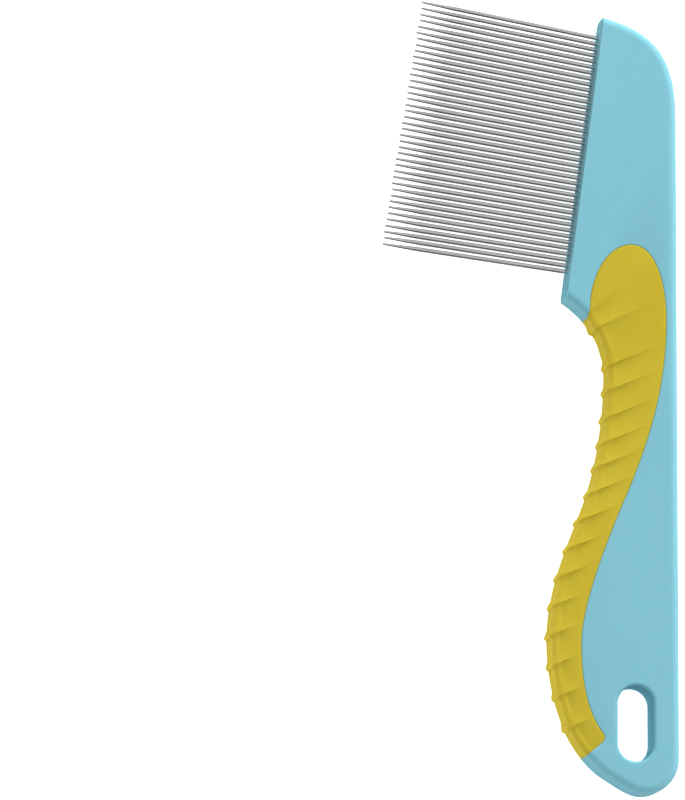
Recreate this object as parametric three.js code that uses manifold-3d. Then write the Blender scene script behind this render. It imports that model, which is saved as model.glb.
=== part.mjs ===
// Flea comb: a moulded handle, a soft overmoulded grip and a row of separate steel pins.
// Drawn in millimetres with the spine on x = 0, the butt on y = 0 and the back face on z = 0.
import * as THREE from 'three';
import Module from 'manifold-3d';

const wasm = await Module();
wasm.setup();

// ---- driving dimensions (mm, degrees) ----
const THICKNESS = 8.0;
const MID = THICKNESS / 2;
const EDGE_ROUND = 1.7;
const RIM_ROUND = 0.7;
const ROUND_STEPS = 4;

const HEAD_CORNER = new THREE.Vector2(-22.77, 99.65);
const TOOTH_EDGE_LEAN = 7.72;
const EDGE_STOCK = 3.4;

const SLOT_CENTRE = new THREE.Vector2(-8.95, 14.15);
const SLOT_WIDTH = 7.3;
const SLOT_LENGTH = 15.2;

const PIN_COUNT = 41;
const PIN_PITCH = 1.215;
const PIN_FIRST = 6.15;
const PIN_RADIUS = 0.43;
const PIN_TIP_RADIUS = 0.2;
const PIN_SEAT_CLEARANCE = 0.03;
const PIN_EXPOSED_TOP = 36.7;
const PIN_EXPOSED_BOTTOM = 38.0;
const PIN_ROOT = 8.0;
const PIN_TAPER = 7.0;
const PIN_ANGLE_BOTTOM = 7.2;
const PIN_ANGLE_TOP = 9.9;
const PIN_SIDES = 8;

const GRIP_SKIN = 1.0;
const GRIP_WALL = 1.5;
const GRIP_GAP = 0.06;

const THUMB_RIBS = [96.6, 93.9];
const RIB_COUNT = 16;
const RIB_TOP_Y = 86.4;
const RIB_SPACE = 4.93;
const RIB_SPACE_GROWTH = 0.054;
const RIB_SAG = 0.7;
const RIB_SAG_AT = 2.4;
const RIB_HEIGHT = 0.42;
const RIB_CUT = 0.28;
const RIB_STEP = 0.35;
const RIB_SLOPE = 22.5;
const RIB_SLOPE_TOP = 52;
const RIB_DROP = 0.1;
const FACE_REACH = 26;
const FLAT = 99;

// ---- colours ----
const BLUE = 0x86c2d0;
const YELLOW = 0xcab534;
const STEEL = 0xc9c9c7;

const rad = THREE.MathUtils.degToRad;

// ---- outlines ----

// The front edge, from the head's lower corner down round the butt to the spine.
function frontEdge(path) {
  path.bezierCurveTo(-18.1, 96.6, -14.2, 91.4, -14.2, 85.4);
  path.bezierCurveTo(-14.2, 77.3, -15.5, 67.7, -18.0, 60.3);
  path.bezierCurveTo(-20.6, 52.6, -26.0, 42.5, -26.0, 31.0);
  path.bezierCurveTo(-26.0, 24.7, -24.6, 17.5, -22.0, 12.0);
  path.bezierCurveTo(-20.5, 8.9, -17.5, 5.2, -15.0, 3.7);
  path.bezierCurveTo(-12.5, 2.2, -9.6, 0, -7.2, 0);
  path.bezierCurveTo(-3.2, 0, 0, 3.3, 0, 7.4);
}

// A point on the tooth edge, measured up from the head's lower corner.
function toothEdgePoint(along, out = 0) {
  const lean = rad(TOOTH_EDGE_LEAN);
  return new THREE.Vector2(
    HEAD_CORNER.x + along * Math.sin(lean) - out * Math.cos(lean),
    HEAD_CORNER.y + along * Math.cos(lean) + out * Math.sin(lean),
  );
}

// The whole body, with spare stock beyond the tooth edge so that the edge can be cut square.
function bodyOutline() {
  const shape = new THREE.Shape();
  const edgeTop = toothEdgePoint(55.4);
  const stockTop = toothEdgePoint(55.3, EDGE_STOCK);
  const stockLow = new THREE.Vector2(HEAD_CORNER.x - EDGE_STOCK, HEAD_CORNER.y + 0.7 * EDGE_STOCK);
  shape.moveTo(HEAD_CORNER.x, HEAD_CORNER.y);
  frontEdge(shape);
  shape.lineTo(0, 137.5);
  shape.bezierCurveTo(0, 150.3, -4.4, 154.9, -14.3, 157.6);
  shape.lineTo(-15.2, 155.95);
  shape.lineTo(edgeTop.x, edgeTop.y);
  shape.lineTo(stockTop.x, stockTop.y);
  shape.lineTo(stockLow.x, stockLow.y);
  return openRing(shape.getPoints(12));
}

// The same body with the head squared off above the grip.
function coreOutline() {
  const shape = new THREE.Shape();
  shape.moveTo(HEAD_CORNER.x, HEAD_CORNER.y);
  frontEdge(shape);
  shape.lineTo(0, 125);
  shape.lineTo(-35, 125);
  shape.lineTo(-35, 108.4);
  return openRing(shape.getPoints(12));
}

// The area that the grip covers on each face; it runs out past the front edge.
function gripOutline() {
  const shape = new THREE.Shape();
  shape.moveTo(-9.4, 111.0);
  shape.bezierCurveTo(-14.9, 111.0, -18.1, 103.3, -18.0, 97.9);
  shape.lineTo(-18.9, 94.2);
  shape.lineTo(-30, 88);
  shape.lineTo(-30, 12);
  shape.lineTo(-21.2, 5.6);
  shape.bezierCurveTo(-18.8, 7.6, -17.9, 8.6, -16.5, 9.6);
  shape.bezierCurveTo(-15.2, 10.6, -15.0, 11.4, -15.9, 12.4);
  shape.bezierCurveTo(-19.3, 17.0, -20.0, 23.8, -20.0, 29.9);
  shape.bezierCurveTo(-20.0, 38.1, -14.0, 52.5, -10.9, 59.7);
  shape.bezierCurveTo(-5.9, 71.2, -2.4, 82.8, -2.4, 96.0);
  shape.bezierCurveTo(-2.4, 102.6, -4.2, 111.0, -9.4, 111.0);
  return openRing(shape.getPoints(10));
}

// An obround slot standing along y.
function slotOutline() {
  const shape = new THREE.Shape();
  const r = SLOT_WIDTH / 2;
  const half = SLOT_LENGTH / 2 - r;
  shape.absarc(SLOT_CENTRE.x, SLOT_CENTRE.y + half, r, 0, Math.PI, false);
  shape.absarc(SLOT_CENTRE.x, SLOT_CENTRE.y - half, r, Math.PI, 2 * Math.PI, false);
  return openRing(shape.getPoints(8)).reverse();
}

// Drops repeated points, including a last point that closes the ring.
function openRing(points) {
  const kept = points.filter((p, i) => i === 0 || p.distanceTo(points[i - 1]) > 0.02);
  if (kept[0].distanceTo(kept[kept.length - 1]) < 0.02) kept.pop();
  return kept;
}

// ---- solids ----

// Moves a ring sideways, to the left of its direction of travel.
function offsetRing(ring, distance) {
  return ring.map((point, i) => {
    const before = ring[(i + ring.length - 1) % ring.length];
    const after = ring[(i + 1) % ring.length];
    const a = point.clone().sub(before).normalize();
    const b = after.clone().sub(point).normalize();
    const mitre = new THREE.Vector2(-a.y - b.y, a.x + b.x).divideScalar(1 + a.dot(b));
    return point.clone().addScaledVector(mitre, distance);
  });
}

function ringArea(ring) {
  return THREE.ShapeUtils.area(ring);
}

function manifoldFrom(positions, indices) {
  const mesh = new wasm.Mesh({
    numProp: 3,
    vertProperties: Float32Array.from(positions),
    triVerts: Uint32Array.from(indices),
  });
  return new wasm.Manifold(mesh);
}

// A flat plate whose rims are rounded. Each rim is { ring, round }; the first one is the outside.
function plate(rims, zLow, zHigh) {
  const positions = [];
  const indices = [];
  const lowRings = [];
  const highRings = [];
  const lowIds = [];
  const highIds = [];
  for (const { ring, round } of rims) {
    const levels = [];
    for (let i = 0; i <= ROUND_STEPS; i++) {
      const turn = (i / ROUND_STEPS) * (Math.PI / 2);
      levels.push([round * (1 - Math.sin(turn)), round * (1 - Math.cos(turn))]);
      if (round === 0) break;
    }
    const inset = [...levels, ...[...levels].reverse()].map((level) => level[0]);
    const heights = [
      ...levels.map((level) => zLow + level[1]),
      ...[...levels].reverse().map((level) => zHigh - level[1]),
    ];
    const first = positions.length / 3;
    const n = ring.length;
    inset.forEach((distance, k) => {
      const moved = offsetRing(ring, distance);
      moved.forEach((p) => positions.push(p.x, p.y, heights[k]));
      if (k === 0) lowRings.push(moved);
      if (k === inset.length - 1) highRings.push(moved);
    });
    for (let k = 0; k + 1 < inset.length; k++) {
      for (let i = 0; i < n; i++) {
        const a = first + k * n + i;
        const b = first + k * n + ((i + 1) % n);
        indices.push(a, b, b + n, a, b + n, a + n);
      }
    }
    for (let i = 0; i < n; i++) {
      lowIds.push(first + i);
      highIds.push(first + (inset.length - 1) * n + i);
    }
  }
  fillFace(indices, lowRings, lowIds, false);
  fillFace(indices, highRings, highIds, true);
  return manifoldFrom(positions, indices);
}

// Fills a flat face between an outside ring and its holes, facing up or down.
function fillFace(indices, rings, ids, facesUp) {
  const flat = rings.flat();
  for (const [a, b, c] of THREE.ShapeUtils.triangulateShape(rings[0], rings.slice(1))) {
    const up = ringArea([flat[a], flat[b], flat[c]]) > 0;
    if (up === facesUp) indices.push(ids[a], ids[b], ids[c]);
    else indices.push(ids[a], ids[c], ids[b]);
  }
}

function prism(ring, zLow, zHigh) {
  return plate([{ ring, round: 0 }], zLow, zHigh);
}

// Everything on the tooth side of the tooth edge.
function toothSide() {
  const ring = [
    toothEdgePoint(-20),
    toothEdgePoint(80),
    toothEdgePoint(80, 20),
    toothEdgePoint(-20, 20),
  ];
  return prism(ring, -1, THICKNESS + 1);
}

// ---- pins ----

// The pins fan out slightly, and the lowest ones reach a little further.
function pinAxis(index) {
  const base = toothEdgePoint(PIN_FIRST + PIN_PITCH * (PIN_COUNT - 1 - index));
  const share = index / (PIN_COUNT - 1);
  const angle = rad(THREE.MathUtils.lerp(PIN_ANGLE_TOP, PIN_ANGLE_BOTTOM, share));
  const exposed = THREE.MathUtils.lerp(PIN_EXPOSED_TOP, PIN_EXPOSED_BOTTOM, share);
  return { base, angle, exposed };
}

// A turned pin: plain shank, long taper and rounded point.
function pinProfile(exposed, extra) {
  const r = PIN_RADIUS + extra;
  const tip = PIN_TIP_RADIUS + extra;
  const length = PIN_ROOT + exposed;
  return [
    new THREE.Vector2(0, -extra),
    new THREE.Vector2(r, -extra),
    new THREE.Vector2(r, length - PIN_TAPER),
    new THREE.Vector2(tip, length - tip),
    new THREE.Vector2(tip * 0.6, length - tip * 0.2),
    new THREE.Vector2(0, length),
  ];
}

function pinGeometry(index, extra = 0) {
  const { base, angle, exposed } = pinAxis(index);
  const geometry = new THREE.LatheGeometry(pinProfile(exposed, extra), PIN_SIDES);
  geometry.translate(0, -PIN_ROOT, 0);
  geometry.rotateZ(Math.PI / 2 - angle);
  geometry.translate(base.x, base.y, MID);
  return geometry;
}

// ---- grip ----

// Where the front edge is at a given height, and which way it runs there.
const EDGE_SAMPLES = (() => {
  const path = new THREE.Path();
  path.moveTo(HEAD_CORNER.x, HEAD_CORNER.y);
  frontEdge(path);
  return path.getPoints(40);
})();

function edgeAt(y) {
  let i = EDGE_SAMPLES.findIndex((p) => p.y < y);
  i = Math.max(1, i);
  const a = EDGE_SAMPLES[i - 1];
  const b = EDGE_SAMPLES[i];
  const down = b.clone().sub(a).normalize();
  const point = a.clone().lerp(b, (y - a.y) / (b.y - a.y));
  return { point, down, inward: new THREE.Vector2(-down.y, down.x) };
}

// The height of a rib at the edge: two on the thumb rest, then ever wider spaces towards the butt,
// with the ribs round the narrowest part of the neck a little lower.
function ribY(index) {
  if (index < THUMB_RIBS.length) return THUMB_RIBS[index];
  const n = index - THUMB_RIBS.length;
  const sag = RIB_SAG * Math.exp(-((n - RIB_SAG_AT) ** 2));
  return RIB_TOP_Y - RIB_SPACE * n - RIB_SPACE_GROWTH * n * n - sag;
}

// The slope of a rib on the face: flat along the handle, steep round the head end.
function ribSlope(y) {
  return RIB_SLOPE + (RIB_SLOPE_TOP - RIB_SLOPE) * THREE.MathUtils.smoothstep(y, 92, 101);
}

// The stations of the grip: the height of each and where it is on the rib, 1 on a crest and 0 in a trough.
function gripStations() {
  const stations = [101.6, 99.8, 98.0].map((y) => ({ y, crest: 1, edge: 0 }));
  for (let i = 0; i < RIB_COUNT; i++) {
    const y = ribY(i);
    const next = ribY(i + 1);
    stations.push({ y: y + RIB_STEP / 2, crest: 1, edge: i === 0 ? 0 : 1 });
    stations.push({ y: y - RIB_STEP / 2, crest: 0, edge: 0 });
    stations.push({ y: y + (next - y) * 0.6, crest: 0.8, edge: 0.15 });
  }
  stations.push({ y: 4.2, crest: 1, edge: 0 });
  return stations;
}

// How far a rib reaches in over the face: long on the thumb rest, short on the belly.
function ribReach(y) {
  return THREE.MathUtils.mapLinear(y, 13, 93, 3.0, 9.5);
}

// Half a section of the grip, from the middle of the edge wall in over one face.
// Crests stand out of the edge wall, but on the faces they are level with the body.
function gripHalfSection(station) {
  const { point, down, inward } = edgeAt(Math.min(station.y, HEAD_CORNER.y + 2));
  const slope = rad(ribSlope(station.y));
  const along = new THREE.Vector2(Math.cos(slope), Math.sin(slope));
  const facing = Math.max(0.55, along.dot(inward));
  const wall = MID - EDGE_ROUND;
  const section = [];
  const place = (depth, z, travel, fade) => {
    const p = point.clone();
    const drop = Math.max(0, wall + (Math.PI / 2) * EDGE_ROUND - travel) * RIB_DROP;
    const turn = THREE.MathUtils.clamp(1 - depth / EDGE_ROUND, 0, 1);
    p.addScaledVector(down, drop);
    p.addScaledVector(along, depth / facing);
    p.addScaledVector(inward, -RIB_HEIGHT * station.edge * turn);
    section.push([p.x, p.y, z - RIB_CUT * (1 - station.crest) * (1 - turn) * fade]);
  };
  place(0, 0, 0, 1);
  place(0, wall, wall, 1);
  for (let i = 1; i <= ROUND_STEPS; i++) {
    const turn = (i / ROUND_STEPS) * (Math.PI / 2);
    const depth = EDGE_ROUND * (1 - Math.cos(turn));
    place(depth, wall + EDGE_ROUND * Math.sin(turn), wall + EDGE_ROUND * turn, 1);
  }
  const reach = ribReach(station.y);
  for (const share of [0.4, 0.75, 1]) {
    place(EDGE_ROUND + share * reach, MID, FLAT, Math.sqrt(1 - share));
  }
  place(FACE_REACH, MID, FLAT, 0);
  return section;
}

// The ribbed block that the grip is cut from: its sections are skinned from top to bottom.
function gripBlock() {
  const positions = [];
  const indices = [];
  const rows = gripStations().map(gripHalfSection);
  const half = rows[0].length;
  const n = 2 * half - 1;
  for (const row of rows) {
    for (let j = half - 1; j > 0; j--) positions.push(row[j][0], row[j][1], MID - row[j][2]);
    for (let j = 0; j < half; j++) positions.push(row[j][0], row[j][1], MID + row[j][2]);
  }
  for (let k = 0; k + 1 < rows.length; k++) {
    for (let j = 0; j < n; j++) {
      const a = k * n + j;
      const b = k * n + ((j + 1) % n);
      indices.push(a, b + n, b, a, a + n, b + n);
    }
  }
  const last = (rows.length - 1) * n;
  for (let j = 0; j + 1 < half; j++) {
    const m = n - 1 - j;
    if (j + 1 === half - 1) {
      indices.push(j, j + 1, m);
      indices.push(last + j, last + m, last + j + 1);
    } else {
      indices.push(j, j + 1, m - 1, j, m - 1, m);
      indices.push(last + j, last + m - 1, last + j + 1, last + j, last + m, last + m - 1);
    }
  }
  return manifoldFrom(positions, indices);
}

// The part of the body that the grip is moulded over.
function gripCore(extra) {
  const ring = offsetRing(coreOutline(), GRIP_WALL - extra);
  return plate([{ ring, round: EDGE_ROUND * 0.6 }], GRIP_SKIN - extra, THICKNESS - GRIP_SKIN + extra);
}

function makeGrip() {
  const area = prism(gripOutline(), -1, THICKNESS + 1);
  return gripBlock().intersect(area).subtract(gripCore(GRIP_GAP));
}

function makeHandle() {
  const blank = plate(
    [
      { ring: bodyOutline(), round: EDGE_ROUND },
      { ring: slotOutline(), round: RIM_ROUND },
    ],
    0,
    THICKNESS,
  );
  const pocket = prism(offsetRing(gripOutline(), -GRIP_GAP), -1, THICKNESS + 1);
  let body = blank.subtract(pocket.subtract(gripCore(0))).subtract(toothSide());
  for (let i = 0; i < PIN_COUNT; i++) {
    body = body.subtract(fromGeometry(pinGeometry(i, PIN_SEAT_CLEARANCE)));
  }
  return body;
}

// ---- assembly ----

// A lathed geometry as a manifold: repeated points are welded and flat triangles dropped.
function fromGeometry(geometry) {
  const source = geometry.index ? geometry.toNonIndexed() : geometry;
  const from = source.getAttribute('position');
  const seen = new Map();
  const positions = [];
  const ids = [];
  for (let i = 0; i < from.count; i++) {
    const p = [from.getX(i), from.getY(i), from.getZ(i)];
    const key = p.map((v) => Math.round(v * 1e4)).join();
    if (!seen.has(key)) {
      seen.set(key, positions.length / 3);
      positions.push(...p);
    }
    ids.push(seen.get(key));
  }
  const indices = [];
  for (let i = 0; i < ids.length; i += 3) {
    const [a, b, c] = ids.slice(i, i + 3);
    if (a !== b && b !== c && c !== a) indices.push(a, b, c);
  }
  return manifoldFrom(positions, indices);
}

function toMesh(solid, name, color, roughness, metalness) {
  const { vertProperties, triVerts } = solid.getMesh();
  const geometry = new THREE.BufferGeometry();
  geometry.setAttribute('position', new THREE.BufferAttribute(Float32Array.from(vertProperties), 3));
  geometry.setIndex(new THREE.BufferAttribute(Uint32Array.from(triVerts), 1));
  geometry.computeVertexNormals();
  const material = new THREE.MeshStandardMaterial({ color, roughness, metalness });
  const mesh = new THREE.Mesh(geometry, material);
  mesh.name = name;
  return mesh;
}

const group = new THREE.Group();
group.name = 'flea_comb';
group.add(toMesh(makeHandle(), 'handle', BLUE, 0.42, 0));
group.add(toMesh(makeGrip(), 'grip', YELLOW, 0.62, 0));
for (let i = 0; i < PIN_COUNT; i++) {
  const name = `pin_${String(i + 1).padStart(2, '0')}`;
  group.add(toMesh(fromGeometry(pinGeometry(i)), name, STEEL, 0.25, 1));
}

// Put the origin at the middle of the base.
const box = new THREE.Box3().setFromObject(group);
const centre = box.getCenter(new THREE.Vector3());
for (const mesh of group.children) mesh.geometry.translate(-centre.x, -centre.y, -box.min.z);

export default group;
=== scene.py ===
import math
import random

import bpy
import numpy as np
from mathutils import Matrix, Vector
from mathutils.geometry import tessellate_polygon


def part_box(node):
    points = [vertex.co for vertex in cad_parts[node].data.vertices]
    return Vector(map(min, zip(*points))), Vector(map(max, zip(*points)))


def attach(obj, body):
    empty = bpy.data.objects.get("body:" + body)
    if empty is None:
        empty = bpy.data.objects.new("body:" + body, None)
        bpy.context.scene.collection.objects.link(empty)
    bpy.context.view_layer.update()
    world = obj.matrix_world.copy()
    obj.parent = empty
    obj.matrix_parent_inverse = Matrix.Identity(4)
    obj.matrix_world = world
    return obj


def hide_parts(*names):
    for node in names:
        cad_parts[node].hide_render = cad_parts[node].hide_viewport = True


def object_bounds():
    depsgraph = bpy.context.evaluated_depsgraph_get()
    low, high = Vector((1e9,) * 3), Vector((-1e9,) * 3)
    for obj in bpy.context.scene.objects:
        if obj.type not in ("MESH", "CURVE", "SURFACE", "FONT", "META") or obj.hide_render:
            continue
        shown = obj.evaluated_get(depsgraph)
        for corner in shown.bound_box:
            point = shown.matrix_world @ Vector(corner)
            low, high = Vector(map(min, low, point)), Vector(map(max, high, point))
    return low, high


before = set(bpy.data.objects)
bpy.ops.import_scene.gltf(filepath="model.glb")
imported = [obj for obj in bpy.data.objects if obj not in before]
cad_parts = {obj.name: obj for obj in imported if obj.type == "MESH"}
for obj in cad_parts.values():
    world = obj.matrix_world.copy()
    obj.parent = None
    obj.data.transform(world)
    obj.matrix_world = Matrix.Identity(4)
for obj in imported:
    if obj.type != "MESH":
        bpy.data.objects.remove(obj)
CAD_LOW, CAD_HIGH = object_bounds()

MM = 0.001
HANDLE_LOW, HANDLE_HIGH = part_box("handle")
TO_ROW = Matrix.Translation((HANDLE_HIGH.x, HANDLE_LOW.y, HANDLE_LOW.z)) @ Matrix.Scale(MM, 4)
THICKNESS = (HANDLE_HIGH.z - HANDLE_LOW.z) / MM
MID = THICKNESS / 2

# ---- sizes (mm; angles are written in degrees) ----
EDGE_ROUND = 1.7
SLOT_ROUND = 0.7
LIP_ROUND = 0.2
TOOTH_EDGE_ROUND = 0.22
CORE_ROUND = EDGE_ROUND * 0.6
FLAT_BAND = 0.4
CLOSED = 0.02

HEAD_CORNER = np.array((-22.77, 99.65))
TOOTH_EDGE_LEAN = math.radians(7.72)
EDGE_STOCK = 3.4 * np.array((-1, 0.7))
TOOTH_CUT = ((-20, 0), (80, 0), (80, 20), (-20, 20))

SLOT_CENTRE = np.array((-8.95, 14.15))
SLOT_WIDTH = 7.3
SLOT_LENGTH = 15.2

PIN_NODES = sorted(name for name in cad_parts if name.startswith("pin_"))
PIN_PITCH = 1.215
PIN_FIRST = 6.15
PIN_RADIUS = 0.43
PIN_TIP_RADIUS = 0.2
PIN_TIP_TURN = 1.45
PIN_SEAT_CLEARANCE = 0.03
PIN_SEAT_RUN_OUT = 3
PIN_EXPOSED = (36.7, 38.0)
PIN_ANGLE = (math.radians(9.9), math.radians(7.2))
PIN_ROOT = 8.0
PIN_TAPER = 7.0
PIN_LEAN_SPREAD = 0.1
PIN_TILT_SPREAD = 0.12
PIN_LENGTH_SPREAD = 0.15
PIN_SEED = 11

GRIP_SKIN = 1.0
GRIP_WALL = 1.5
GRIP_GAP = 0.01

THUMB_RIBS = (96.6, 93.9)
RIB_COUNT = 16
RIB_TOP_Y = 86.4
RIB_SPACE = 4.93
RIB_SPACE_GROWTH = 0.054
RIB_HEIGHT = 0.5
RIB_CUT = 0.65
RIB_FALL = 0.6
RIB_RETURN = 0.6
RIB_NIB = 1.8
RIB_SAG = 0.7
RIB_SAG_AT = 2.4
RIB_REACH = (3.6, 9.5)
THUMB_REACH = 4.5
RIB_SLOPE = math.radians(22.5)
RIB_SLOPE_TOP = math.radians(52)
RIB_FACING_LEAST = 0.55
RIB_DROP = 0.1
RIB_FADE_POWER = 1.5
LAST_RIB_END = (0.6, 1.0)
FACE_REACH = 26.0
PAST_ROUND = 99.0

# ---- heights between which a rib's slope and reach change (mm above the butt) ----
SLOPE_CHANGE = (92, 101)
REACH_CHANGE = (42, 86)
THUMB_CHANGE = (88, 95)

# ---- rows of the grip: plain ones at each end, and distances below and above a rib line (mm) ----
HEAD_ROWS = (101.6, 100.4, 99.2, 98.0)
ROWS_BELOW = (0.0, 0.12, 0.26, 0.42, 0.6, 0.85, 1.15, 1.5, 1.95, 2.5)
ROWS_ABOVE = (1.8, 1.5, 1.2, 0.9, 0.65, 0.4, 0.2, 0.08)
BUTT_ROW = 4.2
BUTT_ROW_STEP = 0.6
BUTT_ROWS = 5

# ---- fineness: steps along a curve or round a rim ----
EDGE_STEPS = 40
CROWN_STEPS = 14
SAMPLE_STEPS = 60
GRIP_STEPS = 30
CORE_STEPS = 12
SLOT_STEPS = 24
EDGE_ROUND_STEPS = 12
SLOT_ROUND_STEPS = 8
TOOTH_EDGE_STEPS = 5
LIP_STEPS = 4
PIN_SIDES = 20
PIN_TIP_POINTS = 6
WALL_SHARES = (0, 0.35, 0.7, 1)
SECTION_ROUND_POINTS = 11
SECTION_FACE_POINTS = 13
SHARP_ANGLE = 32
PIN_SHARP_ANGLE = 50

# ---- outlines: each move is a straight one (one point) or a Bezier (three points) ----
FRONT_EDGE = [
    ((-18.1, 96.6), (-14.2, 91.4), (-14.2, 85.4)),
    ((-14.2, 77.3), (-15.5, 67.7), (-18.0, 60.3)),
    ((-20.6, 52.6), (-26.0, 42.5), (-26.0, 31.0)),
    ((-26.0, 24.7), (-24.6, 17.5), (-22.0, 12.0)),
    ((-20.5, 8.9), (-17.5, 5.2), (-15.0, 3.7)),
    ((-12.5, 2.2), (-9.6, 0.0), (-7.2, 0.0)),
    ((-3.2, 0.0), (0.0, 3.3), (0.0, 7.4)),
]
HEAD_TOP = [((0.0, 137.5),), ((0.0, 150.3), (-4.4, 154.9), (-14.3, 157.6)), ((-18.2, 158.65),)]
CORE_TOP = [((0.0, 125.0),), ((-35.0, 125.0),), ((-35.0, 108.4),)]
GRIP_START = (-9.4, 111.0)
GRIP_EDGE = [
    ((-14.9, 111.0), (-18.1, 103.3), (-18.0, 97.9)),
    ((-18.9, 94.2),),
    ((-30.0, 88.0),),
    ((-30.0, 12.0),),
    ((-21.2, 5.6),),
    ((-18.8, 7.6), (-17.9, 8.6), (-16.5, 9.6)),
    ((-15.2, 10.6), (-15.0, 11.4), (-15.9, 12.4)),
    ((-19.3, 17.0), (-20.0, 23.8), (-20.0, 29.9)),
    ((-20.0, 38.1), (-14.0, 52.5), (-10.9, 59.7)),
    ((-5.9, 71.2), (-2.4, 82.8), (-2.4, 96.0)),
    ((-2.4, 102.6), (-4.2, 111.0), (-9.4, 111.0)),
]


def trace(start, moves, steps):
    """The points along a list of moves, without repeats."""
    points = [np.array(start, float)]
    for move in moves:
        a = points[-1]
        if len(move) == 1:
            points.append(np.array(move[0], float))
            continue
        b, c, d = (np.array(p, float) for p in move)
        for t in np.linspace(0, 1, steps + 1)[1:]:
            s = 1 - t
            points.append(a * s**3 + 3 * b * s * s * t + 3 * c * s * t * t + d * t**3)
    if np.linalg.norm(points[0] - points[-1]) < CLOSED:
        points.pop()
    return np.array(points)


def tooth_edge_point(along, out=0.0):
    """A point on the tooth edge, measured up from the head's lower corner."""
    lean = TOOTH_EDGE_LEAN
    up = np.array((math.sin(lean), math.cos(lean)))
    away = np.array((-math.cos(lean), math.sin(lean)))
    return HEAD_CORNER + along * up + out * away


def body_outline():
    """The whole body, with spare stock beyond the tooth edge so that the edge can be cut square."""
    front = trace(HEAD_CORNER, FRONT_EDGE, EDGE_STEPS)
    back_and_crown = trace(front[-1], HEAD_TOP, CROWN_STEPS)[1:]
    return np.vstack([front, back_and_crown, [HEAD_CORNER + EDGE_STOCK]])


def obround(centre, width, length, steps):
    """An upright slot with round ends, anticlockwise."""
    r = width / 2
    rise = np.array((0, length / 2 - r))
    turns = np.linspace(0, math.pi, steps + 1)
    arc = np.stack([np.cos(turns), np.sin(turns)], 1) * r
    return np.vstack([centre + rise + arc, centre - rise - arc])


def offset_ring(ring, distance):
    """A ring moved sideways, to the left of its direction of travel."""
    before = ring - np.roll(ring, 1, axis=0)
    after = np.roll(ring, -1, axis=0) - ring
    a = before / np.linalg.norm(before, axis=1)[:, None]
    b = after / np.linalg.norm(after, axis=1)[:, None]
    mitre = np.stack([-a[:, 1] - b[:, 1], a[:, 0] + b[:, 0]], 1)
    mitre /= (1 + (a * b).sum(axis=1))[:, None]
    return ring + mitre * distance


# ---- solids ----


def make_object(name, verts, faces):
    mesh = bpy.data.meshes.new(name)
    mesh.from_pydata([tuple(v) for v in verts], [], faces)
    mesh.validate()
    piece = bpy.data.objects.new(name, mesh)
    bpy.context.scene.collection.objects.link(piece)
    return piece


def round_levels(radius, low, high, steps):
    """Insets and heights of a rim that is rounded at both faces."""
    turns = np.linspace(0, math.pi / 2, steps + 1)
    levels = [(radius * (1 - math.sin(t)), low + radius * (1 - math.cos(t))) for t in turns]
    return levels + [(inset, low + high - z) for inset, z in reversed(levels)]


def lip_levels(radius, low, high, steps):
    """Levels of a cutter that leaves rounded lips where it passes the two faces."""
    turns = np.linspace(0, math.pi / 2, steps + 1)
    rise = [(-radius * (1 - math.cos(t)), high - radius * (1 - math.sin(t))) for t in turns]
    fall = [(inset, low + high - z) for inset, z in reversed(rise)]
    return [(-radius, low - 1)] + fall + rise + [(-radius, high + 1)]


def plate(name, rims, band=0.0):
    """A plate from rims of (ring, levels); the first is the outside and the others are holes.

    A band keeps a strip of flat face beside the rim, so that shading stays flat there."""
    verts, faces, low_rings, high_rings = [], [], [], []
    for ring, levels in rims:
        if band:
            (low_in, low_z), (high_in, high_z) = levels[0], levels[-1]
            levels = [(low_in + band, low_z)] + levels + [(high_in + band, high_z)]
        first, n = len(verts), len(ring)
        for inset, z in levels:
            verts += [(x, y, z) for x, y in offset_ring(ring, inset)]
        for k in range(len(levels) - 1):
            for i in range(n):
                a, b = first + k * n + i, first + k * n + (i + 1) % n
                faces.append((a, b, b + n, a + n))
        low_rings.append(range(first, first + n))
        top = first + (len(levels) - 1) * n
        high_rings.append(range(top, top + n))
    faces += cap(verts, low_rings, False) + cap(verts, high_rings, True)
    return make_object(name, verts, faces)


def cap(verts, rings, faces_up):
    """Triangles over a flat face between an outside ring and its holes."""
    flat = [i for ring in rings for i in ring]
    loops = [[Vector((*verts[i][:2], 0)) for i in ring] for ring in rings]
    faces = []
    for tri in tessellate_polygon(loops):
        a, b, c = (Vector(verts[flat[i]]) for i in tri)
        up = (b - a).cross(c - a).z > 0
        ids = [flat[i] for i in tri]
        faces.append(tuple(ids if up == faces_up else reversed(ids)))
    return faces


def combine(piece, operation, *cutters):
    """Applies booleans to a piece and removes the cutters."""
    for cutter in cutters:
        step = piece.modifiers.new("cut", "BOOLEAN")
        step.operation = operation
        step.object = cutter
        step.solver = "EXACT"
    view = bpy.context.evaluated_depsgraph_get()
    mesh = bpy.data.meshes.new_from_object(piece.evaluated_get(view))
    piece.modifiers.clear()
    piece.data = mesh
    for cutter in cutters:
        bpy.data.objects.remove(cutter)
    return piece


def place(piece, sharp=SHARP_ANGLE):
    """Moves a drawn piece to its place in the frame, shades it and fixes it to the one body."""
    piece.data.transform(TO_ROW)
    piece.data.shade_smooth()
    piece.data.set_sharp_from_angle(angle=math.radians(sharp))
    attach(piece, "root")
    return piece


# ---- pins ----


def pin_axis(index):
    """Base, angle and free length of a pin; the angle and the length change evenly along the row."""
    count = len(PIN_NODES)
    share = index / (count - 1)
    base = tooth_edge_point(PIN_FIRST + PIN_PITCH * (count - 1 - index))
    angle = PIN_ANGLE[0] + (PIN_ANGLE[1] - PIN_ANGLE[0]) * share
    exposed = PIN_EXPOSED[0] + (PIN_EXPOSED[1] - PIN_EXPOSED[0]) * share
    return base, angle, exposed


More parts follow.
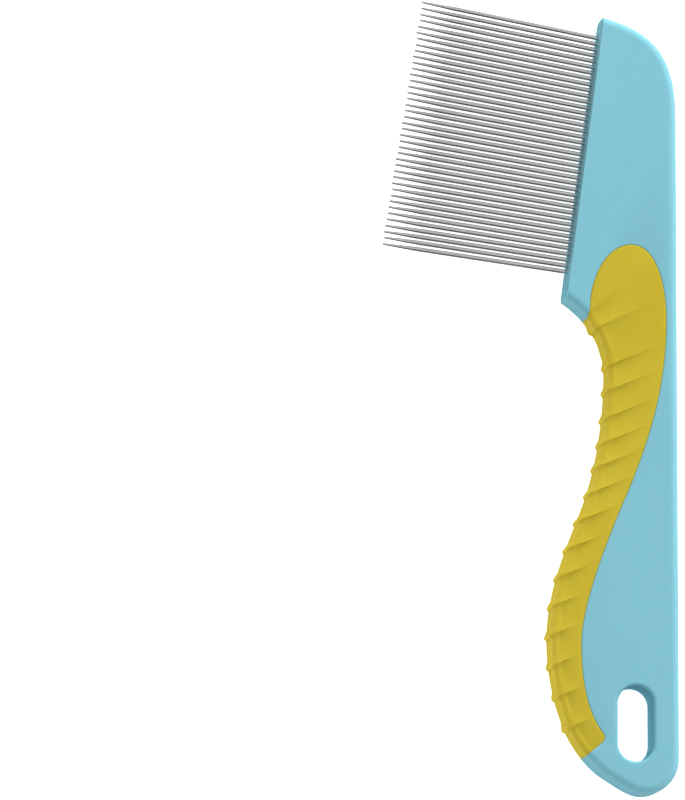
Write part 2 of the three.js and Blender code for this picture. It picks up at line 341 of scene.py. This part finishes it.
def pin_matrix(base, angle, tilt=0.0):
    """Turns +Z into a pin's direction, with the seat's mouth at the pin's root depth."""
    turn = Matrix.Rotation(math.pi - angle, 4, "Z") @ Matrix.Rotation(math.pi / 2 + tilt, 4, "Y")
    return Matrix.Translation((base[0], base[1], MID)) @ turn @ Matrix.Translation((0, 0, -PIN_ROOT))


def lathe(profile, sides):
    """Points and faces of a turned solid along +Z; the profile starts and ends off the axis."""
    verts, faces = [], []
    for r, z in profile:
        for i in range(sides):
            turn = 2 * math.pi * i / sides
            verts.append((r * math.cos(turn), r * math.sin(turn), z))
    for k in range(len(profile) - 1):
        for i in range(sides):
            a, b = k * sides + i, k * sides + (i + 1) % sides
            faces.append((a, b, b + sides, a + sides))
    faces.append(tuple(reversed(range(sides))))
    faces.append(tuple(range((len(profile) - 1) * sides, len(profile) * sides)))
    return verts, faces


def pin_profile(exposed):
    """A plain shank, a taper and a rounded point."""
    length = PIN_ROOT + exposed
    profile = [(PIN_RADIUS, 0.0), (PIN_RADIUS, PIN_ROOT), (PIN_RADIUS, length - PIN_TAPER)]
    for t in np.linspace(0, PIN_TIP_TURN, PIN_TIP_POINTS):
        profile.append((PIN_TIP_RADIUS * math.cos(t), length - PIN_TIP_RADIUS * (1 - math.sin(t))))
    return profile


def make_pins():
    """A pin for each seat, each with a small lean and length of its own."""
    chance = random.Random(PIN_SEED)
    pins = []
    for index, node in enumerate(PIN_NODES):
        base, angle, exposed = pin_axis(index)
        angle += math.radians(chance.uniform(-PIN_LEAN_SPREAD, PIN_LEAN_SPREAD))
        tilt = math.radians(chance.uniform(-PIN_TILT_SPREAD, PIN_TILT_SPREAD))
        exposed += chance.uniform(-PIN_LENGTH_SPREAD, PIN_LENGTH_SPREAD)
        verts, faces = lathe(pin_profile(exposed), PIN_SIDES)
        pin = make_object("steel_" + node, verts, faces)
        pin.data.transform(pin_matrix(base, angle, tilt))
        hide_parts(node)
        pins.append(place(pin, PIN_SHARP_ANGLE))
    return pins


def make_seats():
    """The holes that the pins stand in."""
    verts, faces = [], []
    radius = PIN_RADIUS + PIN_SEAT_CLEARANCE
    profile = [(radius, -PIN_SEAT_CLEARANCE), (radius, PIN_ROOT + PIN_SEAT_RUN_OUT)]
    seat_verts, seat_faces = lathe(profile, PIN_SIDES)
    for index in range(len(PIN_NODES)):
        base, angle, _ = pin_axis(index)
        matrix = pin_matrix(base, angle)
        first = len(verts)
        verts += [matrix @ Vector(v) for v in seat_verts]
        faces += [tuple(first + i for i in face) for face in seat_faces]
    return make_object("seats", verts, faces)


# ---- grip ----

EDGE_SAMPLES = trace(HEAD_CORNER, FRONT_EDGE, SAMPLE_STEPS)


def smooth(value, low, high):
    """0 below low, 1 above high and a smooth step between."""
    t = min(1.0, max(0.0, (value - low) / (high - low)))
    return t * t * (3 - 2 * t)


def edge_at(y):
    """The front edge at a height: its point, the way down along it, and the way in."""
    i = max(1, int(np.argmax(EDGE_SAMPLES[:, 1] < y)))
    a, b = EDGE_SAMPLES[i - 1], EDGE_SAMPLES[i]
    down = (b - a) / np.linalg.norm(b - a)
    return a + (b - a) * (y - a[1]) / (b[1] - a[1]), down, np.array((-down[1], down[0]))


def rib_y(index):
    """The height of a rib at the edge: two on the thumb rest, then ever wider spaces to the butt."""
    if index < len(THUMB_RIBS):
        return THUMB_RIBS[index]
    n = index - len(THUMB_RIBS)
    sag = RIB_SAG * math.exp(-((n - RIB_SAG_AT) ** 2))
    return RIB_TOP_Y - RIB_SPACE * n - RIB_SPACE_GROWTH * n * n - sag


def rib_levels(since, until):
    """Face and edge level of the skin, from how far it is below one rib line and above the next."""
    fall = math.exp(-since / RIB_FALL)
    rise = (since / (since + until)) ** 2
    nib = 1 - smooth(until, 0, RIB_NIB)
    return min(1.0, fall + rise), max(nib, 1 - smooth(since, 0, RIB_RETURN))


def grip_stations():
    """Rows of the grip from the head end down: height, face level and edge level."""
    rows = [(y, 1.0, 0.0) for y in HEAD_ROWS]
    for index in range(RIB_COUNT):
        y, pitch = rib_y(index), rib_y(index) - rib_y(index + 1)
        spots = [d for d in ROWS_BELOW if d < pitch - ROWS_ABOVE[0]] + [pitch - d for d in ROWS_ABOVE]
        for since in spots:
            face, edge = rib_levels(since, pitch - since)
            if index == RIB_COUNT - 1:
                edge *= 1 - smooth(since, *LAST_RIB_END)
            rows.append((y - since, face, edge))
    last = rows[-1][0]
    rows += [(y, 1.0, 0.0) for y in np.linspace(last - BUTT_ROW_STEP, BUTT_ROW, BUTT_ROWS)]
    return rows


def half_section(row):
    """Half a section of the grip, from the middle of the edge wall in over one face."""
    y, face, edge = row
    point, down, inward = edge_at(y)
    slope = RIB_SLOPE + (RIB_SLOPE_TOP - RIB_SLOPE) * smooth(y, *SLOPE_CHANGE)
    along = np.array((math.cos(slope), math.sin(slope)))
    facing = max(RIB_FACING_LEAST, float(along @ inward))
    wall = MID - EDGE_ROUND
    reach = RIB_REACH[0] + (RIB_REACH[1] - RIB_REACH[0]) * smooth(y, *REACH_CHANGE)
    reach += THUMB_REACH * smooth(y, *THUMB_CHANGE)
    section = []

    def spot(depth, z, travel, fade):
        drop = max(0.0, wall + math.pi / 2 * EDGE_ROUND - travel) * RIB_DROP
        turn = min(1.0, max(0.0, 1 - depth / EDGE_ROUND))
        p = point + down * drop + along * depth / facing - inward * RIB_HEIGHT * edge * turn
        section.append((p[0], p[1], z - RIB_CUT * (1 - face) * (1 - turn) * fade))

    for share in WALL_SHARES:
        spot(0, wall * share, wall * share, 1)
    for t in np.linspace(0, math.pi / 2, SECTION_ROUND_POINTS)[1:]:
        spot(EDGE_ROUND * (1 - math.cos(t)), wall + EDGE_ROUND * math.sin(t), wall + EDGE_ROUND * t, 1)
    for share in np.linspace(0, 1, SECTION_FACE_POINTS)[1:]:
        spot(EDGE_ROUND + share * reach, MID, PAST_ROUND, (1 - share) ** RIB_FADE_POWER)
    spot(FACE_REACH, MID, PAST_ROUND, 0)
    return section


def grip_block():
    """The ribbed block that the grip is cut from: its sections are skinned from top to bottom."""
    verts, faces = [], []
    rows = [half_section(row) for row in grip_stations()]
    half = len(rows[0])
    n = 2 * half - 1
    for row in rows:
        verts += [(x, y, MID - z) for x, y, z in reversed(row[1:])]
        verts += [(x, y, MID + z) for x, y, z in row]
    for k in range(len(rows) - 1):
        for j in range(n):
            a, b = k * n + j, k * n + (j + 1) % n
            faces.append((a, a + n, b + n, b))
    faces.append(tuple(range(n)))
    faces.append(tuple(reversed(range((len(rows) - 1) * n, len(rows) * n))))
    return make_object("grip_sleeve", verts, faces)


def grip_core(extra):
    """The part of the body that the grip is moulded over."""
    outline = np.vstack([trace(HEAD_CORNER, FRONT_EDGE, CORE_STEPS), [m[0] for m in CORE_TOP]])
    levels = round_levels(CORE_ROUND, GRIP_SKIN - extra, THICKNESS - GRIP_SKIN + extra, LIP_STEPS)
    return plate("core", [(offset_ring(outline, GRIP_WALL - extra), levels)])


def make_grip():
    """The ribbed block, cut to the grip's outline and hollowed round the core."""
    outline = trace(GRIP_START, GRIP_EDGE, GRIP_STEPS)
    area = plate("area", [(outline, round_levels(LIP_ROUND, 0, THICKNESS, LIP_STEPS))])
    piece = combine(grip_block(), "INTERSECT", area)
    combine(piece, "DIFFERENCE", grip_core(GRIP_GAP))
    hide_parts("grip")
    return place(piece)


def make_handle():
    """The body with its slot, its grip pocket, its square tooth edge and the seats of its pins."""
    slot = obround(SLOT_CENTRE, SLOT_WIDTH, SLOT_LENGTH, SLOT_STEPS)[::-1]
    piece = plate(
        "handle_body",
        [
            (body_outline(), round_levels(EDGE_ROUND, 0, THICKNESS, EDGE_ROUND_STEPS)),
            (slot, round_levels(SLOT_ROUND, 0, THICKNESS, SLOT_ROUND_STEPS)),
        ],
        FLAT_BAND,
    )
    outline = offset_ring(trace(GRIP_START, GRIP_EDGE, GRIP_STEPS), -GRIP_GAP)
    pocket = plate("pocket", [(outline, lip_levels(LIP_ROUND, 0, THICKNESS, LIP_STEPS))])
    combine(pocket, "DIFFERENCE", grip_core(0))
    corners = [tooth_edge_point(*corner) for corner in TOOTH_CUT]
    levels = lip_levels(TOOTH_EDGE_ROUND, 0, THICKNESS, TOOTH_EDGE_STEPS)
    tooth_side = plate("tooth_side", [(np.array(corners), levels)])
    combine(piece, "DIFFERENCE", pocket, tooth_side, make_seats())
    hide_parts("handle")
    return place(piece)


# ---- materials ----

BLUE = ((0.185, 0.485, 0.58), (0.205, 0.51, 0.605))
YELLOW = ((0.53, 0.41, 0.011), (0.575, 0.45, 0.021))
STEEL = (0.54, 0.63)
FLOOR_WHITE = (0.86, 0.88)
RAMP_ENDS = (0.3, 0.7)


class Nodes:
    """A material's node tree, with short calls to add and link nodes."""

    def __init__(self, name):
        self.material = bpy.data.materials.new(name)
        self.material.use_nodes = True
        self.tree = self.material.node_tree
        self.shader = self.tree.nodes["Principled BSDF"]
        self.place = self.add("ShaderNodeTexCoord").outputs["Object"]

    def add(self, kind, **values):
        node = self.tree.nodes.new(kind)
        for key, value in values.items():
            setattr(node, key, value)
        return node

    def link(self, output, target):
        self.tree.links.new(output, target)

    def drive(self, socket, output):
        """Feeds one of the shader's sockets."""
        self.link(output, self.shader.inputs[socket])

    def fix(self, settings):
        """Sets the shader's own sockets."""
        for socket, value in settings.items():
            self.shader.inputs[socket].default_value = value

    def noise(self, scale, detail=2.0, stretch=(1, 1, 1), turn=0.0):
        """Noise with a scale in 1/metre, stretched and turned about Z."""
        mapping = self.add("ShaderNodeMapping")
        mapping.inputs["Rotation"].default_value = (0, 0, turn)
        mapping.inputs["Scale"].default_value = stretch
        texture = self.add("ShaderNodeTexNoise")
        texture.inputs["Scale"].default_value = scale
        texture.inputs["Detail"].default_value = detail
        self.link(self.place, mapping.inputs["Vector"])
        self.link(mapping.outputs["Vector"], texture.inputs["Vector"])
        return texture.outputs["Fac"]

    def ramp(self, value, low, high):
        """A colour or grey between two ends, spread over the range that noise mostly keeps to."""
        node = self.add("ShaderNodeValToRGB")
        for end, position, value_at_end in zip(node.color_ramp.elements, RAMP_ENDS, (low, high)):
            end.position = position
            end.color = colour(value_at_end)
        self.link(value, node.inputs["Fac"])
        return node.outputs["Color"]

    def bump(self, height, distance, strength=1.0, before=None):
        node = self.add("ShaderNodeBump")
        node.inputs["Distance"].default_value = distance
        node.inputs["Strength"].default_value = strength
        self.link(height, node.inputs["Height"])
        if before is not None:
            self.link(before, node.inputs["Normal"])
        return node.outputs["Normal"]


def colour(value):
    """A grey level, or a colour of three parts, as RGBA."""
    if isinstance(value, (int, float)):
        value = (value, value, value)
    return (*value, 1.0)


def blue_plastic():
    """Satin polypropylene: faint flow marks, a fine moulded texture and light handling scuffs."""
    nodes = Nodes("blue_plastic")
    flow = nodes.noise(38, 3, (1, 0.35, 1))
    nodes.drive("Base Color", nodes.ramp(flow, *BLUE))
    scuffs = nodes.noise(900, 5, (1, 0.08, 1), 0.4)
    nodes.drive("Roughness", nodes.ramp(scuffs, 0.36, 0.46))
    grain = nodes.bump(nodes.noise(5200, 2), 0.00001, 0.35)
    nodes.drive("Normal", nodes.bump(flow, 0.0004, 0.12, grain))
    nodes.fix({
        "IOR": 1.49,
        "Subsurface Weight": 0.25,
        "Subsurface Radius": (0.5, 0.95, 1.0),
        "Subsurface Scale": 0.002,
    })
    return nodes.material


def yellow_rubber():
    """Soft thermoplastic rubber: matt, with a fine spark-eroded grain."""
    nodes = Nodes("yellow_grip")
    nodes.drive("Base Color", nodes.ramp(nodes.noise(60, 3), *YELLOW))
    nodes.drive("Roughness", nodes.ramp(nodes.noise(2400, 3), 0.5, 0.62))
    nodes.drive("Normal", nodes.bump(nodes.noise(4200, 3), 0.000025, 0.5))
    nodes.fix({
        "IOR": 1.45,
        "Subsurface Weight": 0.6,
        "Subsurface Radius": (1.0, 0.75, 0.2),
        "Subsurface Scale": 0.0018,
    })
    return nodes.material


def drawn_steel():
    """Drawn stainless wire, with fine streaks along its length."""
    nodes = Nodes("steel_pins")
    turn = (PIN_ANGLE[0] + PIN_ANGLE[1]) / 2
    streaks = nodes.noise(5200, 4, (0.03, 1, 1), turn)
    tone = nodes.noise(900, 3, (0.1, 1, 1), turn)
    nodes.drive("Base Color", nodes.ramp(tone, *STEEL))
    nodes.drive("Roughness", nodes.ramp(streaks, 0.12, 0.22))
    nodes.drive("Normal", nodes.bump(streaks, 0.00001, 0.1))
    nodes.fix({"Metallic": 1.0})
    return nodes.material


def dress(pieces, material):
    for piece in pieces:
        piece.data.materials.clear()
        piece.data.materials.append(material)


# ---- camera, floor and light: metres and radians, with the view's centre and the sensor in mm ----

VIEW_TILT = math.radians(12.36)
VIEW_ROLL = 0.0132
VIEW_CENTRE = Vector((-67.7, 78.5, 4.0))
VIEW_HEIGHT = 160.0 * MM
VIEW_DISTANCE = 1.5
SENSOR = 36.0
FLOOR_SIZE = 12.0
FLOOR_GAP = 0.00005
FLOOR_GLOW = 0.95
ROOM_TOWARDS = (0.35, 0.6, 0.72)
ROOM_ABOVE = 0.78
ROOM_ABOVE_FADE = (-0.05, 0.35)
ROOM_LOW = 0.85
ROOM_LOW_FADE = (0.22, 0.08)
LIGHT_DISTANCE = 1.2
LIGHT_SIZE = 1.1
KEY_TOWARDS, KEY_POWER = (0.55, 0.8, 0.55), 16
FILL_TOWARDS, FILL_POWER = (-0.8, -0.55, 0.3), 3


def make_camera():
    """Looks almost straight down at the upright handle, from a little to its butt's and pins' side."""
    diagonal = Vector((1, 1, 0)).normalized()
    across = Vector((1, -1, 0)).normalized()
    towards = Vector((0, 0, math.cos(VIEW_TILT))) - diagonal * math.sin(VIEW_TILT)
    raised = diagonal * math.cos(VIEW_TILT) + Vector((0, 0, math.sin(VIEW_TILT)))
    right = (raised + across).normalized()
    up = (raised - across).normalized()
    axes = Matrix((right, up, towards)).transposed().to_4x4()
    lens = bpy.data.cameras.new("camera")
    lens.sensor_width = SENSOR
    lens.lens = SENSOR * VIEW_DISTANCE / VIEW_HEIGHT
    camera = bpy.data.objects.new("camera", lens)
    bpy.context.scene.collection.objects.link(camera)
    roll = Matrix.Rotation(VIEW_ROLL, 4, "Z")
    place_of = Matrix.Translation(TO_ROW @ VIEW_CENTRE)
    camera.matrix_world = place_of @ roll @ axes @ Matrix.Translation((0, 0, VIEW_DISTANCE))
    bpy.context.scene.camera = camera


def make_floor():
    """A pale table that glows; it casts no shadow, and polished parts don't mirror it."""
    half = FLOOR_SIZE / 2
    corners = [(-half, -half), (half, -half), (half, half), (-half, half)]
    height = CAD_LOW.z - FLOOR_GAP
    floor = make_object("floor", [(x, y, height) for x, y in corners], [(0, 1, 2, 3)])
    nodes = Nodes("floor")
    nodes.drive("Base Color", nodes.ramp(nodes.noise(3), *FLOOR_WHITE))
    nodes.fix({"Roughness": 0.9, "Emission Color": (1, 1, 1, 1), "Emission Strength": FLOOR_GLOW})
    nodes.material.cycles.emission_sampling = "NONE"
    dress([floor], nodes.material)
    floor.visible_glossy = False
    floor.visible_shadow = False


def make_softbox(name, direction, power):
    """A square area light that faces the middle of the part and shows in no reflection."""
    light = bpy.data.lights.new(name, "AREA")
    light.shape = "SQUARE"
    light.size = LIGHT_SIZE
    light.energy = power
    lamp = bpy.data.objects.new(name, light)
    bpy.context.scene.collection.objects.link(lamp)
    away = Vector(direction).normalized()
    lamp.location = (CAD_LOW + CAD_HIGH) / 2 + away * LIGHT_DISTANCE
    lamp.visible_glossy = False
    lamp.rotation_mode = "QUATERNION"
    lamp.rotation_quaternion = away.to_track_quat("Z", "Y")


def room_level(tree, value, low, high, level):
    """A smooth step in the room's brightness, from nothing at low to its level at high."""
    step = tree.nodes.new("ShaderNodeMapRange")
    step.interpolation_type = "SMOOTHSTEP"
    step.inputs["From Min"].default_value = low
    step.inputs["From Max"].default_value = high
    step.inputs["To Max"].default_value = level
    tree.links.new(value, step.inputs["Value"])
    return step.outputs["Result"]


def make_world():
    """A soft white room: bright towards the upper back and round the horizon, and dark elsewhere."""
    world = bpy.data.worlds.new("room")
    world.use_nodes = True
    bpy.context.scene.world = world
    tree = world.node_tree
    direction = tree.nodes.new("ShaderNodeTexCoord").outputs["Generated"]
    axes = tree.nodes.new("ShaderNodeSeparateXYZ")
    tree.links.new(direction, axes.inputs[0])
    towards = tree.nodes.new("ShaderNodeVectorMath")
    towards.operation = "DOT_PRODUCT"
    towards.inputs[1].default_value = Vector(ROOM_TOWARDS).normalized()
    tree.links.new(direction, towards.inputs[0])
    height = tree.nodes.new("ShaderNodeMath")
    height.operation = "ABSOLUTE"
    tree.links.new(axes.outputs["Z"], height.inputs[0])
    brighter = tree.nodes.new("ShaderNodeMath")
    brighter.operation = "MAXIMUM"
    above = room_level(tree, towards.outputs["Value"], *ROOM_ABOVE_FADE, ROOM_ABOVE)
    low = room_level(tree, height.outputs["Value"], *ROOM_LOW_FADE, ROOM_LOW)
    tree.links.new(above, brighter.inputs[0])
    tree.links.new(low, brighter.inputs[1])
    background = tree.nodes["Background"]
    background.inputs["Color"].default_value = (1, 1, 1, 1)
    tree.links.new(brighter.outputs["Value"], background.inputs["Strength"])


make_camera()
make_floor()
make_world()
make_softbox("key", KEY_TOWARDS, KEY_POWER)
make_softbox("fill", FILL_TOWARDS, FILL_POWER)
dress([make_handle()], blue_plastic())
dress([make_grip()], yellow_rubber())
dress(make_pins(), drawn_steel())
bpy.context.scene.view_settings.view_transform = "Standard"
